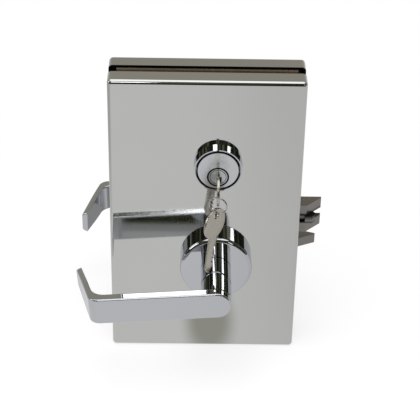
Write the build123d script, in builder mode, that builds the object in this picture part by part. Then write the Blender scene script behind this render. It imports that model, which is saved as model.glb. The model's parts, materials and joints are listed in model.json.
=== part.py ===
from build123d import *
import math
import os

# Glass door center lock: a mortise lock in a two-cover housing that clamps on a glass door.
# Millimetres. X runs across the door towards its edge, where the latch comes out, -Y is the
# keyed front, Z is up. The origin is the middle of the housing's bottom edge, halfway
# through the glass.

# Housing
plate_width = 152.4
plate_height = 254.0
glass_thickness = 10.0
cover_depth = 15.2
cover_wall = 2.0
cover_edge_radius = 3.0
cover_corner_radius = 3.2

# Axes of the lock: the backset, and heights from the ends of the mortise case
spindle_x = 9.5
spindle_rise = 33.5
cylinder_drop = 25.0

# Clamping plates and gaskets
gasket_thickness = 1.2
gasket_side_inset = 6.2
gasket_end_inset = 2.6
clamp_plate_thickness = 5.0
clamp_plate_gap = 0.5
clamp_plate_right_gap = 0.4
glass_notch_x = -46.0
glass_notch_gap = 2.4
glass_notch_foot = 6.0
case_window_gap = 2.0
bolt_radius = 3.0
bolt_head_radius = 5.0
bolt_head_height = 5.0
bolt_clearance = 0.05
sleeve_radius = 5.0
side_bolt_x = -39.5
side_bolt_inset = 20.0
middle_bolt_x = 5.0
middle_bolt_gap = 15.0
block_bolt_setback = 7.6
block_bolt_inset = 17.6
block_length = 15.4
block_gap = 4.0
hook_width = 100.0
hook_height = 3.2
hook_thickness = 0.9
hook_gap = 0.1
cover_screw_radius = 1.5
cover_screw_length = 8.0
cover_screw_x = 45.0
cover_screw_recess = 0.3

# Mortise case
case_left_x = -31.0
case_inset = 26.6
case_thickness = 24.0
case_wall = 1.6
front_plate_thickness = 2.4
front_plate_width = 28.0
faceplate_thickness = 3.2
faceplate_width = 31.75
faceplate_height = 203.2
faceplate_middle_z = 130.0
faceplate_gap = 0.3
faceplate_corner = 1.0
cylinder_hole_radius = 15.0
case_post_radius = 3.0
case_post_inset = 6.0
case_screw_radius = 1.5
case_screw_head_radius = 2.8
case_screw_head_height = 1.2
faceplate_screw_radius = 2.5
faceplate_screw_head_radius = 4.6
faceplate_screw_inset = 8.0
faceplate_screw_length = 20.0
armor_screw_radius = 1.5
armor_screw_head_radius = 2.8
armor_screw_length = 5.6
armor_screw_low = 17.0
armor_screw_high = 39.0

# Latch bolt with its anti-friction tongue
latch_rise = 54.4
latch_jaw_height = 9.35
latch_slot_height = 6.5
latch_thickness = 14.0
latch_projection = 18.7
latch_nose_flat = 1.5
latch_rear_x = 58.0
latch_bridge = 4.0
latch_clearance = 0.3
tongue_gap = 0.2
tongue_reach = 13.5
tongue_proud = 1.5
tongue_back_inset = 2.5
tongue_tip_back_run = 4.5
tongue_tip_back_rise = 5.0
tongue_tip_front_rise = 1.5
tongue_tip_bevel = 2.5
tongue_face_start = 5.3
tongue_neck_inset = 3.0
tongue_pivot_x = 66.5
tongue_root_radius = 4.0
tongue_pin_radius = 1.5
tongue_pin_clearance = 0.05
pin_cover = 1.6
tail_height = 5.0
tail_thickness = 5.0
tail_lug_setback = 9.7
tail_lug_length = 4.0
tail_lug_width = 11.0
tail_lug_drop = 17.0
spring_rod_radius = 2.0
spring_rod_rise = 8.1
spring_rod_left_x = 26.0
latch_guide_x = 28.0
guide_thickness = 3.0
guide_half_height = 3.6
guide_front_y = 6.0
slide_clearance = 0.06
spring_wire = 0.9
latch_spring_turns = 8

# Guard bolt
guard_rise = 36.4
guard_height = 8.2
guard_projection = 15.3
guard_back_y = 8.5
guard_back_bevel = 3.0
guard_back_bevel_run = 8.5
guard_nose_thickness = 1.5
guard_thickness = 11.6
guard_rear_x = 66.0
guard_rod_left_x = 38.5
guard_guide_x = 40.0
guard_spring_turns = 7

# Hubs and spindles
hub_radius = 13.0
hub_inner_gap = 0.2
hub_disc_depth = 7.0
hub_flange_radius = 16.0
hub_notch_depth = 12.0
hub_flange_depth = 2.6
hub_boss_radius = 8.0
hub_boss_stand = 0.4
hub_bore_clearance = 0.08
hub_arm_length = 29.5
hub_arm_width = 8.0
hub_arm_depth = 5.0
hub_arm_start = 0.5
spindle_size = 8.0
spindle_fit = 0.06
spindle_reach = 40.0
spindle_nub_radius = 2.0
spindle_nub_length = 6.0

# Roses
rose_radius = 29.2
rose_depth = 12.0
rose_rim_radius = 3.0
rose_wall = 1.6
rose_hole_radius = 11.0
rose_base_radius = 27.0
rose_base_thickness = 3.0
rose_base_hole_radius = 12.0
trim_bolt_offset = 19.0
trim_bolt_radius = 2.5
trim_bolt_head_radius = 4.2
trim_bolt_head_height = 2.5
trim_bolt_clearance = 0.3
rose_spring_radius = 12.9
rose_spring_wire = 1.6
rose_spring_turns = 2.5
rose_spring_pitch = 2.0
bushing_depth = 3.8
bushing_stand = 0.2
bushing_clearance = 0.05

# Levers
shank_radius = 9.7
shank_start = 0.6
neck_radius = 12.2
neck_gap = 0.3
neck_groove_place = 34.6
neck_groove_width = 0.9
neck_groove_depth = 0.5
neck_bevel = 0.7
grip_back = 53.8
grip_front = 61.8
grip_half_height = 11.65
grip_corner_x = -89.5
return_inner_x = -86.7
grip_corner_radius = 9.0
grip_inner_radius = 12.0
return_lean = 16.0
return_end = 14.0
return_tip_thickness = 4.6
return_tip_half_height = 8.2
return_tip_corner_radius = 2.4
return_taper_start_x = -93.0
return_taper_radius = 20.0
grip_edge_radius = 1.3
front_lever_droop = 4.3
lever_screw_depth = 22.0
lever_screw_radius = 2.5
lever_screw_length = 5.2

# Cylinder
collar_depth = 8.0
collar_base_radius = 19.3
collar_top_radius = 18.7
collar_inner_radius = 17.5
collar_lip_bevel = 0.3
cylinder_head_radius = 17.0
cylinder_head_bevel = 0.45
cylinder_head_depth = 4.0
cylinder_radius = 14.5
cylinder_length = 25.4
plug_drop = 5.8
plug_end_wall = 0.8
plug_radius = 6.4
plug_flange_radius = 7.9
plug_flange_depth = 1.8
plug_clearance = 0.05
plug_flange_clearance = 0.15
plug_ring_bevel = 0.3
plug_groove_radius = 6.5
plug_groove_width = 0.35
plug_groove_depth = 0.3
ward_offset = 2.2
ward_drop = 2.5
ward_width = 1.1
ward_height = 5.0
ward_depth = 1.5
cam_thickness = 2.5
cam_gap = 0.2
cam_disc_radius = 7.0
cam_toe_radius = 2.5
cam_throw = 11.0
cam_rest_angle = 45.0
cam_finger_width = 4.0
cam_screw_radius = 1.0
cam_screw_offset = 4.4
set_screw_radius = 2.0
set_screw_y = -7.0
set_screw_gap = 0.1

# Stop slide, moved by the cam
stop_plate_thickness = 2.0
stop_width = 8.0
stop_tooth_width = 4.0
stop_tooth_height = 5.0
stop_end_gap = 0.5
stop_front_gap = 0.6
stop_fork_gap = 0.6
stop_fork_end_gap = 0.5
stop_fork_disc_gap = 0.95
stop_fork_wall = 3.0
stop_fork_rise = 2.4
stop_stem_width = 6.0
stop_stem_length = 16.0
stop_step_height = 4.0
stop_guide_width = 2.4
stop_guide_gap = 0.1
stop_guide_drop = 2.0
stop_guide_height = 6.0

# Keys and ring
key_thickness = 2.0
key_bow_width = 24.0
key_bow_length = 26.0
key_hole_radius = 3.0
key_hole_inset = 5.5
key_blade_width = 8.0
key_blade_length = 30.0
key_tip_length = 4.0
key_cut_depth = 2.2
key_cut_positions = (9.0, 13.0, 17.0, 21.0)
key_play = 0.1
key_hole_reach = 34.5
key_blade_overlap = 2.0
ring_radius = 7.2
ring_wire_radius = 0.6
ring_play = 0.45
ring_turn = -20.0
spare_key_turn = 50.0
spare_key_lean = 10.0
spare_key_shift = 1.7

# How close two positions are when they count as the same
same_place = 0.01

# Worked out from the sizes above
half_glass = glass_thickness / 2
face_y = half_glass + cover_depth
edge_x = plate_width / 2
clamp_back = half_glass + gasket_thickness
clamp_front = clamp_back + clamp_plate_thickness
case_half = case_thickness / 2
case_height = faceplate_height - 2 * case_inset
case_bottom = faceplate_middle_z - case_height / 2
case_top = faceplate_middle_z + case_height / 2
spindle_z = case_bottom + spindle_rise
cylinder_z = case_top - cylinder_drop
latch_bottom = case_bottom + latch_rise
guard_bottom = case_bottom + guard_rise
side_bolt_heights = (case_bottom + side_bolt_inset, case_top - side_bolt_inset)
middle_bolt_heights = (case_bottom - middle_bolt_gap, case_top + middle_bolt_gap)
armor_screw_heights = (case_bottom + armor_screw_low, case_top - armor_screw_high)
faceplate_back_x = edge_x - faceplate_thickness
front_plate_back_x = faceplate_back_x - front_plate_thickness
clamp_plate_right_x = front_plate_back_x - clamp_plate_right_gap
block_bolt_x = front_plate_back_x - block_bolt_setback
tail_lug_left_x = spindle_x - tail_lug_setback
faceplate_bottom = faceplate_middle_z - faceplate_height / 2
faceplate_top = faceplate_middle_z + faceplate_height / 2
block_height = case_bottom - faceplate_bottom - block_gap
block_bolt_heights = (faceplate_bottom + block_bolt_inset, faceplate_top - block_bolt_inset)
glass_notch_top = faceplate_top + glass_notch_gap
glass_notch_bottom = faceplate_bottom - glass_notch_gap - glass_notch_foot
latch_height = 2 * latch_jaw_height + latch_slot_height
latch_half = latch_thickness / 2
latch_slot_bottom = latch_bottom + latch_jaw_height
latch_middle_z = latch_bottom + latch_height / 2
latch_nose_x = edge_x + latch_projection
latch_slot_x = latch_rear_x + latch_bridge
spring_rod_z = latch_middle_z + spring_rod_rise
guard_middle_z = guard_bottom + guard_height / 2
guard_front_y = guard_back_y - guard_thickness
guard_rod_y = (guard_back_y + guard_front_y) / 2
guard_nose_x = edge_x + guard_projection
plug_z = cylinder_z - plug_drop
cylinder_face_y = face_y + collar_depth
cylinder_tail_y = cylinder_face_y - cylinder_length
cam_back_y = cylinder_tail_y - cam_gap - cam_thickness
cam_angle = math.radians(cam_rest_angle)
cam_toe_x = spindle_x + cam_throw * math.cos(cam_angle)
cam_toe_z = plug_z + cam_throw * math.sin(cam_angle)
key_hole_y = face_y + key_hole_reach
stop_centre_x = spindle_x + cam_throw
stop_left_x = stop_centre_x - stop_width / 2
stop_travel = 2 * cam_throw * math.sin(cam_angle)
stop_fork_half = cam_toe_radius + stop_fork_gap
stop_fork_bottom = cam_toe_z - stop_fork_half - stop_fork_rise
stop_step_top = stop_fork_bottom - stop_stem_length
stop_step_bottom = stop_step_top - stop_step_height
ring_hang = key_hole_radius - ring_wire_radius - ring_play
ring_centre_z = plug_z - ring_hang - ring_radius


def axis_y(x, z):
    """An axis along the door's thickness through (x, z)."""
    return Axis((x, 0, z), (0, -1, 0))


def front_plane(distance):
    """A plane facing the front, at this distance from the middle of the glass."""
    return Plane.XZ.offset(distance)


# Covers: tray-shaped shells whose rims meet the glass
with BuildPart() as cover_shell:
    with BuildSketch(front_plane(half_glass)):
        with Locations((0, plate_height / 2)):
            RectangleRounded(plate_width, plate_height, cover_corner_radius)
    extrude(amount=cover_depth)
    fillet(cover_shell.faces().sort_by(Axis.Y)[0].edges(), radius=cover_edge_radius)
    with BuildSketch(front_plane(half_glass)):
        with Locations((0, plate_height / 2)):
            Rectangle(plate_width - 2 * cover_wall, plate_height - 2 * cover_wall)
    extrude(amount=cover_depth - cover_wall, mode=Mode.SUBTRACT)
    # Side notch for the faceplate
    with BuildSketch(Plane.YZ.offset(edge_x - cover_wall)):
        with Locations((0, faceplate_middle_z)):
            Rectangle(faceplate_width + 2 * faceplate_gap, faceplate_height + 2 * faceplate_gap)
    extrude(amount=cover_wall, mode=Mode.SUBTRACT)
    # Holes behind the rose: the spindle and the trim bolts
    with BuildSketch(front_plane(face_y)):
        with Locations((spindle_x, spindle_z)):
            Circle(rose_base_hole_radius)
        for side in (-1, 1):
            with Locations((spindle_x + side * trim_bolt_offset, spindle_z)):
                Circle(trim_bolt_radius + trim_bolt_clearance)
    extrude(amount=-cover_wall, mode=Mode.SUBTRACT)
    # Hook along the top that catches in the rebate of the clamp plate
    with BuildSketch(front_plane(clamp_back + hook_gap)):
        with Locations((0, plate_height - cover_wall)):
            Rectangle(hook_width, hook_height, align=(Align.CENTER, Align.MAX))
    extrude(amount=hook_thickness)
    # Holes for the cover screws in the bottom wall
    clamp_middle = (clamp_back + clamp_front) / 2
    with BuildSketch(Plane.XY):
        for side in (-1, 1):
            with Locations((side * cover_screw_x, -clamp_middle)):
                Circle(cover_screw_radius + bolt_clearance)
    extrude(amount=cover_wall, mode=Mode.SUBTRACT)

with BuildPart() as front_cover:
    add(cover_shell.part)
    with BuildSketch(front_plane(face_y)):
        with Locations((spindle_x, cylinder_z)):
            Circle(cylinder_hole_radius)
    extrude(amount=-cover_wall, mode=Mode.SUBTRACT)

with BuildPart() as rear_cover:
    mirror(cover_shell.part, about=Plane.XZ)

# Clamp plates: a C round the mortise case, open towards the door's edge
clamp_left_x = -edge_x + cover_wall + clamp_plate_gap
clamp_low_z = cover_wall + clamp_plate_gap
clamp_high_z = plate_height - cover_wall - clamp_plate_gap
window_left_x = case_left_x - case_window_gap
window_height = case_height + 2 * case_window_gap
bolt_places = (
    [(side_bolt_x, z) for z in side_bolt_heights]
    + [(middle_bolt_x, z) for z in middle_bolt_heights]
    + [(block_bolt_x, z) for z in block_bolt_heights]
)
sleeve_places = bolt_places[:4]

with BuildPart() as front_clamp_plate:
    with BuildSketch(front_plane(clamp_back)):
        with Locations((clamp_left_x, clamp_low_z)):
            Rectangle(
                clamp_plate_right_x - clamp_left_x,
                clamp_high_z - clamp_low_z,
                align=(Align.MIN, Align.MIN),
            )
        with Locations((window_left_x, faceplate_middle_z)):
            Rectangle(
                clamp_plate_right_x - window_left_x,
                window_height,
                align=(Align.MIN, Align.CENTER),
                mode=Mode.SUBTRACT,
            )
        with Locations(*bolt_places):
            Circle(bolt_radius + bolt_clearance, mode=Mode.SUBTRACT)
    extrude(amount=clamp_plate_thickness)
    # Rebate for the cover's hook
    with BuildSketch(front_plane(clamp_back)):
        with Locations((0, plate_height - cover_wall)):
            Rectangle(
                hook_width + 2 * hook_gap,
                hook_height + hook_gap,
                align=(Align.CENTER, Align.MAX),
            )
    extrude(amount=hook_thickness + 2 * hook_gap, mode=Mode.SUBTRACT)
    with BuildSketch(Plane.XY.offset(clamp_low_z)):
        for side in (-1, 1):
            with Locations((side * cover_screw_x, -clamp_middle)):
                Circle(cover_screw_radius + bolt_clearance)
    extrude(amount=cover_screw_length, mode=Mode.SUBTRACT)

with BuildPart() as rear_clamp_plate:
    mirror(front_clamp_plate.part, about=Plane.XZ)

# Gaskets between the clamp plates and the glass, round the notch in the glass
with BuildPart() as front_gasket:
    with BuildSketch(front_plane(half_glass)):
        with Locations((0, plate_height / 2)):
            Rectangle(
                plate_width - 2 * gasket_side_inset, plate_height - 2 * gasket_end_inset
            )
        with Locations((glass_notch_x, glass_notch_bottom)):
            Rectangle(
                edge_x - glass_notch_x,
                glass_notch_top - glass_notch_bottom,
                align=(Align.MIN, Align.MIN),
                mode=Mode.SUBTRACT,
            )
    extrude(amount=gasket_thickness)

with BuildPart() as rear_gasket:
    mirror(front_gasket.part, about=Plane.XZ)

# Clamp bolts with socket heads, threaded into the rear clamp plate
with BuildPart() as clamp_bolts:
    with BuildSketch(front_plane(-clamp_front)):
        with Locations(*bolt_places):
            Circle(bolt_radius)
    extrude(amount=2 * clamp_front)
    with BuildSketch(front_plane(clamp_front)):
        with Locations(*bolt_places):
            Circle(bolt_head_radius)
            RegularPolygon(bolt_radius, 6, mode=Mode.SUBTRACT)
    extrude(amount=bolt_head_height)

with BuildPart() as clamp_sleeves:
    with BuildSketch(front_plane(-clamp_back)):
        with Locations(*sleeve_places):
            Circle(sleeve_radius)
            Circle(bolt_radius + bolt_clearance, mode=Mode.SUBTRACT)
    extrude(amount=2 * clamp_back)

# Mounting blocks: they carry the faceplate screws at the door's edge
block_right_x = front_plate_back_x
block_centres = (
    faceplate_bottom + block_height / 2,
    faceplate_top - block_height / 2,
)
faceplate_screw_heights = (
    faceplate_bottom + faceplate_screw_inset,
    faceplate_top - faceplate_screw_inset,
)
with BuildPart() as mounting_blocks:
    with BuildSketch(front_plane(-clamp_back)):
        for z in block_centres:
            with Locations((block_right_x, z)):
                Rectangle(block_length, block_height, align=(Align.MAX, Align.CENTER))
        for z in block_bolt_heights:
            with Locations((block_bolt_x, z)):
                Circle(bolt_radius + bolt_clearance, mode=Mode.SUBTRACT)
    extrude(amount=2 * clamp_back)
    with BuildSketch(Plane.YZ.offset(block_right_x)):
        for z in faceplate_screw_heights:
            with Locations((0, z)):
                Circle(faceplate_screw_radius + bolt_clearance)
    extrude(amount=-block_length, mode=Mode.SUBTRACT)

with BuildPart() as cover_screws:
    with BuildSketch(Plane.XY.offset(cover_screw_recess)):
        for side in (-1, 1):
            with Locations((side * cover_screw_x, -clamp_middle), (side * cover_screw_x, clamp_middle)):
                Circle(cover_screw_radius)
    extrude(amount=cover_screw_length)

# Mortise case: a tray open to the rear with a wider front plate
post_places = [
    (x, z)
    for x in (case_left_x + case_post_inset, front_plate_back_x - case_post_inset)
    for z in (case_bottom + case_post_inset, case_top - case_post_inset)
]
trim_places = [
    (spindle_x - trim_bolt_offset, spindle_z),
    (spindle_x + trim_bolt_offset, spindle_z),
]
case_inner = case_half - case_wall
latch_window = latch_half + latch_clearance

with BuildPart() as lock_case:
    with BuildSketch(front_plane(-case_inner)):
        with Locations((case_left_x, case_bottom)):
            Rectangle(
                front_plate_back_x - case_left_x, case_height, align=(Align.MIN, Align.MIN)
            )
    extrude(amount=case_inner + case_half)
    with BuildSketch(front_plane(-case_inner)):
        with Locations((case_left_x + case_wall, case_bottom + case_wall)):
            Rectangle(
                front_plate_back_x - case_left_x - case_wall,
                case_height - 2 * case_wall,
                align=(Align.MIN, Align.MIN),
            )
    extrude(amount=2 * case_inner, mode=Mode.SUBTRACT)
    with BuildSketch(Plane.YZ.offset(front_plate_back_x)):
        with Locations((0, faceplate_middle_z)):
            Rectangle(front_plate_width, faceplate_height)
    extrude(amount=front_plate_thickness)
    # Posts for the case screws, and the lugs that guide the two spring rods
    with BuildSketch(front_plane(-case_inner)):
        with Locations(*post_places):
            Circle(case_post_radius)
    extrude(amount=2 * case_inner)
    for guide_x, rod_y, rod_z in (
        (latch_guide_x, 0, spring_rod_z),
        (guard_guide_x, guard_rod_y, guard_middle_z),
    ):
        with BuildSketch(Plane.YZ.offset(guide_x)):
            with Locations((-case_inner, rod_z)):
                Rectangle(
                    case_inner + guide_front_y,
                    2 * guide_half_height,
                    align=(Align.MIN, Align.CENTER),
                )
            with Locations((rod_y, rod_z)):
                Circle(spring_rod_radius + slide_clearance, mode=Mode.SUBTRACT)
        extrude(amount=guide_thickness)
    # Guides on both sides of the stop slide
    with BuildSketch(front_plane(case_inner)):
        with Locations((stop_left_x - stop_guide_gap, stop_step_bottom - stop_guide_drop)):
            Rectangle(stop_guide_width, stop_guide_height, align=(Align.MAX, Align.MAX))
        with Locations(
            (stop_left_x + stop_width + stop_guide_gap, stop_step_bottom - stop_guide_drop)
        ):
            Rectangle(stop_guide_width, stop_guide_height, align=(Align.MIN, Align.MAX))
    extrude(amount=-stop_front_gap - stop_plate_thickness)
    # Holes for the cylinder, the hub and the trim bolts
    with BuildSketch(front_plane(case_half)):
        with Locations((spindle_x, cylinder_z)):
            Circle(cylinder_hole_radius)
        with Locations((spindle_x, spindle_z)):
            Circle(hub_boss_radius + hub_bore_clearance)
        with Locations(*trim_places):
            Circle(trim_bolt_radius + trim_bolt_clearance)
    extrude(amount=-case_wall, mode=Mode.SUBTRACT)
    with BuildSketch(front_plane(case_half)):
        with Locations(*post_places):
            Circle(case_screw_radius + bolt_clearance)
    extrude(amount=-case_thickness, mode=Mode.SUBTRACT)
    # Openings of the front plate
    with BuildSketch(Plane.YZ.offset(front_plate_back_x)):
        with Locations((0, latch_middle_z)):
            Rectangle(2 * latch_window, latch_height + 2 * latch_clearance)
        with Locations((0, latch_middle_z)):
            Rectangle(
                latch_window + tongue_proud + latch_clearance,
                latch_slot_height + 2 * latch_clearance,
                align=(Align.MAX, Align.CENTER),
            )
        with Locations((guard_rod_y, guard_middle_z)):
            Rectangle(guard_thickness + 2 * latch_clearance, guard_height + 2 * latch_clearance)
        for z in faceplate_screw_heights:
            with Locations((0, z)):
                Circle(faceplate_screw_radius + bolt_clearance)
        for z in armor_screw_heights:
            with Locations((0, z)):
                Circle(armor_screw_radius + bolt_clearance)
        with Locations((set_screw_y, cylinder_z)):
            Circle(set_screw_radius + bolt_clearance)
    extrude(amount=front_plate_thickness, mode=Mode.SUBTRACT)

with BuildPart() as case_cover:
    with BuildSketch(front_plane(-case_half)):
        with Locations((case_left_x, case_bottom)):
            Rectangle(
                front_plate_back_x - case_left_x, case_height, align=(Align.MIN, Align.MIN)
            )
        with Locations((spindle_x, cylinder_z)):
            Circle(cylinder_hole_radius, mode=Mode.SUBTRACT)
        with Locations((spindle_x, spindle_z)):
            Circle(hub_boss_radius + hub_bore_clearance, mode=Mode.SUBTRACT)
        with Locations(*trim_places):
            Circle(trim_bolt_radius + trim_bolt_clearance, mode=Mode.SUBTRACT)
        with Locations(*post_places):
            Circle(case_screw_radius + bolt_clearance, mode=Mode.SUBTRACT)
    extrude(amount=case_wall)

with BuildPart() as case_screws:
    with BuildSketch(front_plane(-case_half)):
        with Locations(*post_places):
            Circle(case_screw_radius)
    extrude(amount=case_thickness - case_wall)
    with BuildSketch(front_plane(-case_half - case_screw_head_height)):
        with Locations(*post_places):
            Circle(case_screw_head_radius)
    extrude(amount=case_screw_head_height)

# Faceplate with its two bolt openings and countersunk screws
with BuildPart() as faceplate:
    with BuildSketch(Plane.YZ.offset(faceplate_back_x)):
        with Locations((0, faceplate_middle_z)):
            RectangleRounded(faceplate_width, faceplate_height, faceplate_corner)
        with Locations((0, latch_middle_z)):
            Rectangle(
                2 * latch_window, latch_height + 2 * latch_clearance, mode=Mode.SUBTRACT
            )
            Rectangle(
                latch_window + tongue_proud + latch_clearance,
                latch_slot_height + 2 * latch_clearance,
                align=(Align.MAX, Align.CENTER),
                mode=Mode.SUBTRACT,
            )
        with Locations((guard_rod_y, guard_middle_z)):
            Rectangle(
                guard_thickness + 2 * latch_clearance,
                guard_height + 2 * latch_clearance,
                mode=Mode.SUBTRACT,
            )
    extrude(amount=faceplate_thickness)
    for z in faceplate_screw_heights:
        with Locations(Plane.YZ.offset(edge_x) * Location((0, z))):
            CounterSinkHole(
                faceplate_screw_radius + bolt_clearance,
                faceplate_screw_head_radius + bolt_clearance,
                depth=faceplate_thickness,
                counter_sink_angle=90,
            )
    for z in armor_screw_heights:
        with Locations(Plane.YZ.offset(edge_x) * Location((0, z))):
            CounterSinkHole(
                armor_screw_radius + bolt_clearance,
                armor_screw_head_radius + bolt_clearance,
                depth=faceplate_thickness,
                counter_sink_angle=90,
            )


def flat_head_profile(radius, head_radius, length):
    """Half section of a flat-head screw lying along X, its head flush with the faceplate."""
    head_height = head_radius - radius
    return [
        (edge_x - length, 0),
        (edge_x - length, radius),
        (edge_x - head_height, radius),
        (edge_x, head_radius),
        (edge_x, 0),
    ]


with BuildPart() as faceplate_screws:
    for z in faceplate_screw_heights:
        with BuildSketch(Plane.XY.offset(z)):
            with BuildLine():
                Polyline(
                    flat_head_profile(
                        faceplate_screw_radius, faceplate_screw_head_radius, faceplate_screw_length
                    ),
                    close=True,
                )
            make_face()
        revolve(axis=Axis((0, 0, z), (1, 0, 0)))

with BuildPart() as armor_screws:
    for z in armor_screw_heights:
        with BuildSketch(Plane.XY.offset(z)):
            with BuildLine():
                Polyline(
                    flat_head_profile(
                        armor_screw_radius, armor_screw_head_radius, armor_screw_length
                    ),
                    close=True,
                )
            make_face()
        revolve(axis=Axis((0, 0, z), (1, 0, 0)))

# Latch bolt: a bevelled block slotted for the tongue
bevel_run = latch_thickness - latch_nose_flat
with BuildPart() as latch_bolt:
    with BuildSketch(Plane.XY.offset(latch_bottom)):
        with BuildLine():
            Polyline(
                (latch_rear_x, -latch_half),
                (latch_nose_x - bevel_run, -latch_half),
                (latch_nose_x, latch_half - latch_nose_flat),
                (latch_nose_x, latch_half),
                (latch_rear_x, latch_half),
                close=True,
            )
        make_face()
    extrude(amount=latch_height)
    with BuildSketch(Plane.XY.offset(latch_slot_bottom)):
        with Locations((latch_slot_x, 0)):
            Rectangle(
                latch_nose_x - latch_slot_x, latch_thickness, align=(Align.MIN, Align.CENTER)
            )
    extrude(amount=latch_slot_height, mode=Mode.SUBTRACT)
    with BuildSketch(Plane.XY.offset(latch_bottom + pin_cover)):
        with Locations((tongue_pivot_x, 0)):
            Circle(tongue_pin_radius + tongue_pin_clearance)
    extrude(amount=latch_height - 2 * pin_cover, mode=Mode.SUBTRACT)

with BuildPart() as tongue_pin:
    with BuildSketch(Plane.XY.offset(latch_bottom + pin_cover)):
        with Locations((tongue_pivot_x, 0)):
            Circle(tongue_pin_radius)
    extrude(amount=latch_height - 2 * pin_cover)

# Tongue: a lever on the pin that stands a little proud of the bevel
tongue_back_y = latch_half - tongue_back_inset
tongue_front_y = -latch_half - tongue_proud
tongue_tip_x = edge_x + tongue_reach
with BuildPart() as latch_tongue:
    with BuildSketch(Plane.XY.offset(latch_slot_bottom + tongue_gap)):
        with BuildLine():
            Polyline(
                (tongue_pivot_x, tongue_root_radius),
                (edge_x, tongue_back_y),
                (tongue_tip_x - tongue_tip_back_run, tongue_back_y),
                (tongue_tip_x, -latch_half + tongue_tip_back_rise),
                (tongue_tip_x, -latch_half + tongue_tip_front_rise),
                (tongue_tip_x - tongue_tip_bevel, tongue_front_y),
                (edge_x + tongue_face_start, tongue_front_y),
                (edge_x + tongue_face_start, -latch_half + tongue_neck_inset),
                (tongue_pivot_x, -tongue_root_radius),
                close=True,
            )
        make_face()
        with Locations((tongue_pivot_x, 0)):
            Circle(tongue_root_radius)
            Circle(tongue_pin_radius + tongue_pin_clearance, mode=Mode.SUBTRACT)
    extrude(amount=latch_slot_height - 2 * tongue_gap)

# Latch tail: a bar with a lug that the hub arms push
with BuildPart() as latch_tail:
    with BuildSketch(front_plane(-tail_thickness / 2)):
        with Locations((tail_lug_left_x, latch_middle_z)):
            Rectangle(
                latch_rear_x - tail_lug_left_x, tail_height, align=(Align.MIN, Align.CENTER)
            )
    extrude(amount=tail_thickness)
    with BuildSketch(front_plane(-tail_lug_width / 2)):
        with Locations((tail_lug_left_x, latch_middle_z)):
            Rectangle(tail_lug_length, tail_lug_drop, align=(Align.MIN, Align.MAX))
    extrude(amount=tail_lug_width)

with BuildPart() as latch_spring_rod:
    with BuildSketch(Plane.YZ.offset(spring_rod_left_x)):
        with Locations((0, spring_rod_z)):
            Circle(spring_rod_radius)
    extrude(amount=latch_rear_x - spring_rod_left_x)

# Guard bolt and its rod
with BuildPart() as guard_bolt:
    with BuildSketch(Plane.XY.offset(guard_bottom)):
        with BuildLine():
            Polyline(
                (guard_rear_x, guard_front_y),
                (edge_x, guard_front_y),
                (guard_nose_x, guard_back_y - guard_back_bevel - guard_nose_thickness),
                (guard_nose_x, guard_back_y - guard_back_bevel),
                (guard_nose_x - guard_back_bevel_run, guard_back_y),
                (guard_rear_x, guard_back_y),
                close=True,
            )
        make_face()
    extrude(amount=guard_height)

with BuildPart() as guard_rod:
    with BuildSketch(Plane.YZ.offset(guard_rod_left_x)):
        with Locations((guard_rod_y, guard_middle_z)):
            Circle(spring_rod_radius)
    extrude(amount=guard_rear_x - guard_rod_left_x)


def spring_along_x(start_x, end_x, y, z, turns, wire):
    """Path and start of a coil spring whose wire stays between two X positions."""
    coil_radius = spring_rod_radius + wire / 2 + 2 * slide_clearance
    coil_length = end_x - start_x - wire - 2 * slide_clearance
    first_x = start_x + wire / 2 + slide_clearance
    return Helix(
        pitch=coil_length / turns,
        height=coil_length,
        radius=coil_radius,
        center=(first_x, y, z),
        direction=(1, 0, 0),
    )


with BuildPart() as latch_spring:
    with BuildLine():
        latch_coil = spring_along_x(
            latch_guide_x + guide_thickness,
            latch_rear_x,
            0,
            spring_rod_z,
            latch_spring_turns,
            spring_wire,
        )
    with BuildSketch(Plane(origin=latch_coil @ 0, z_dir=latch_coil % 0)):
        Circle(spring_wire / 2)
    sweep(path=latch_coil, is_frenet=True)

with BuildPart() as guard_spring:
    with BuildLine():
        guard_coil = spring_along_x(
            guard_guide_x + guide_thickness,
            guard_rear_x,
            guard_rod_y,
            guard_middle_z,
            guard_spring_turns,
            spring_wire,
        )
    with BuildSketch(Plane(origin=guard_coil @ 0, z_dir=guard_coil % 0)):
        Circle(spring_wire / 2)
    sweep(path=guard_coil, is_frenet=True)

# Hubs: a disc with an arm, and a boss that turns in the case wall
flange_back = hub_inner_gap + hub_disc_depth
boss_end = case_half + hub_boss_stand
with BuildPart() as plain_hub:
    with BuildSketch(front_plane(hub_inner_gap)):
        with Locations((spindle_x, spindle_z)):
            Circle(hub_radius)
    extrude(amount=hub_disc_depth)
    with BuildSketch(front_plane(hub_arm_start)):
        with Locations((spindle_x, spindle_z)):
            Rectangle(hub_arm_width, hub_arm_length, align=(Align.CENTER, Align.MIN))
    extrude(amount=hub_arm_depth)
    with BuildSketch(front_plane(flange_back)):
        with Locations((spindle_x, spindle_z)):
            Circle(hub_boss_radius)
    extrude(amount=boss_end - flange_back)
    with BuildSketch(front_plane(hub_inner_gap)):
        with Locations((spindle_x, spindle_z)):
            Rectangle(spindle_size + 2 * spindle_fit, spindle_size + 2 * spindle_fit)
    extrude(amount=boss_end, mode=Mode.SUBTRACT)

# The front hub also has the notched flange that the stop slide locks
notch_bottom = spindle_z + hub_flange_radius - hub_notch_depth
with BuildPart() as front_hub:
    add(plain_hub.part)
    with BuildSketch(front_plane(flange_back)):
        with Locations((spindle_x, spindle_z)):
            Circle(hub_flange_radius)
            Rectangle(
                spindle_size + 2 * spindle_fit,
                spindle_size + 2 * spindle_fit,
                mode=Mode.SUBTRACT,
            )
        with Locations((stop_centre_x, notch_bottom)):
            Rectangle(
                stop_tooth_width + 2 * latch_clearance,
                hub_flange_radius,
                align=(Align.CENTER, Align.MIN),
                mode=Mode.SUBTRACT,
            )
    extrude(amount=hub_flange_depth)

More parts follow.
